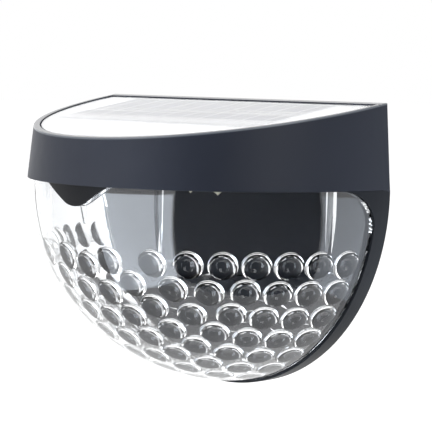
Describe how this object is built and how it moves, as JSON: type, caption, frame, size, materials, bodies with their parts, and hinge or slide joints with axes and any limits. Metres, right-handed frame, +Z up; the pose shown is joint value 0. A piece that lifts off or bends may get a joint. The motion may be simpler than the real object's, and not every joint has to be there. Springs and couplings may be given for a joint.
{
  "type": "solar fence light",
  "caption": "Quarter-round solar wall and fence light with a dark D-shaped hood, a clear bumped lens, a solar panel on top and a keyhole back.",
  "frame": {"origin": "on the wall plane, on the light's middle line, at the seam between the hood and the housing", "axes": "+Z up, +X along the wall, -Y away from the wall, so +Y points into the wall"},
  "size_m": [0.12, 0.063, 0.0837],
  "materials": {
    "black_plastic": "satin",
    "board_green": "satin",
    "cell_sleeve": "gloss film",
    "chip_black": "matt",
    "clear_lens": "clear, smooth outside",
    "clear_sheet": "clear gloss",
    "glue": "soft",
    "hood_plastic": "fine matt texture",
    "housing_plastic": "satin",
    "led_body": "gloss",
    "nickel": "bright",
    "soft_seal": "matt",
    "solar_silicon": "gloss",
    "steel": "satin",
    "wire_red": "satin"
  },
  "bodies": {
    "light": {"hood": "hood_plastic", "housing": "housing_plastic", "lamp_tray": "housing_plastic", "lens": "clear_lens", "perimeter_seal": "soft_seal", "panel_cover": "clear_sheet", "solar_cells": "solar_silicon", "panel_board": "board_green", "panel_adhesive": "glue", "battery_cell": "nickel", "battery_sleeve": "cell_sleeve", "battery_contacts": "nickel", "contact_spring": "nickel", "battery_cover": "housing_plastic", "cover_seal": "soft_seal", "switch_body": "black_plastic", "control_board": "board_green", "driver_chip": "chip_black", "inductor": "chip_black", "capacitor": "chip_black", "led_board": "board_green", "leds": "led_body", "cover_screws": "steel", "hood_screws": "steel", "board_screws": "steel", "panel_wires": "wire_red", "lamp_wires": "wire_red"},
    "switch": {"switch_knob": "black_plastic"}
  },
  "joints": [
    {"name": "switch_slide", "type": "slide", "parent": "light", "child": "switch", "axis": [1, 0, 0], "range_m": [0, 0.002]}
  ]
}
